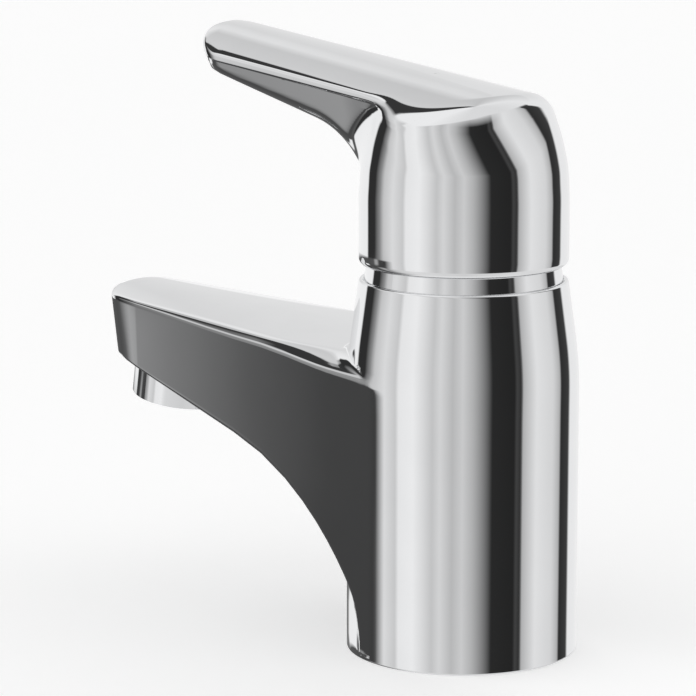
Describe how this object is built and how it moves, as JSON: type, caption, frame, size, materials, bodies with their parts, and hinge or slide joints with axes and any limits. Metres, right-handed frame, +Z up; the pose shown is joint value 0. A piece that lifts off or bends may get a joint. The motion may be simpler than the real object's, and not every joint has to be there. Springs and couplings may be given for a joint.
{
  "type": "single-lever basin mixer tap",
  "caption": "Compact single-lever basin mixer: round tapering column with a fixed cast spout, tilting and turning lever cap over a ceramic cartridge, and a screw-in aerator.",
  "frame": {"origin": "centre of the column's round base, on the basin surface", "axes": "+Z up along the column; the spout and lever point along -Y; +X is to the right of a person who stands in front of the spout and faces the tap"},
  "size_m": [0.05, 0.1345, 0.1314],
  "materials": {
    "body_chrome": "polished",
    "lever_chrome": "polished",
    "ring_chrome": "polished",
    "aerator_chrome": "polished",
    "gasket_rubber": "matt",
    "seal_rubber": "satin",
    "nut_brass": "machined",
    "stem_brass": "machined",
    "cartridge_plastic": "satin",
    "carrier_plastic": "satin",
    "disc_ceramic": "lapped ceramic",
    "pin_steel": "ground",
    "screen_steel": "woven",
    "plug_plastic": "glossy",
    "aerator_plastic": "satin"
  },
  "bodies": {
    "base": {"faucet_body": "body_chrome", "base_gasket": "gasket_rubber", "cartridge_nut": "nut_brass", "cartridge_housing": "cartridge_plastic", "cartridge_base": "cartridge_plastic", "hot_inlet_seal": "seal_rubber", "cold_inlet_seal": "seal_rubber", "outlet_seal": "seal_rubber", "housing_seal": "seal_rubber", "fixed_disc": "disc_ceramic", "aerator_housing": "aerator_chrome", "aerator_insert": "aerator_plastic", "aerator_screen": "screen_steel", "aerator_seal": "seal_rubber"},
    "turret": {"turret": "carrier_plastic", "pivot_pin": "pin_steel"},
    "lever": {"lever_stem": "stem_brass", "lever_handle": "lever_chrome", "neck_ring": "ring_chrome", "handle_set_screw": "pin_steel", "index_plug": "plug_plastic"},
    "slider": {"moving_disc": "disc_ceramic", "disc_carrier": "carrier_plastic"}
  },
  "joints": [
    {"name": "lever_swivel", "type": "hinge", "parent": "base", "child": "turret", "pos_m": [0, 0, 0.089], "axis": [0, 0, 1], "range_deg": [-45, 45]},
    {"name": "lever_lift", "type": "hinge", "parent": "turret", "child": "lever", "pos_m": [0, 0, 0.089], "axis": [-1, 0, 0], "range_deg": [0, 20]},
    {"name": "disc_slide", "type": "slide", "parent": "turret", "child": "slider", "axis": [0, -1, 0], "range_m": [0, 0.00452]}
  ],
  "couplings": [
    {"joint": "disc_slide", "follows": "lever_lift", "m_per_rad": 0.012934}
  ]
}
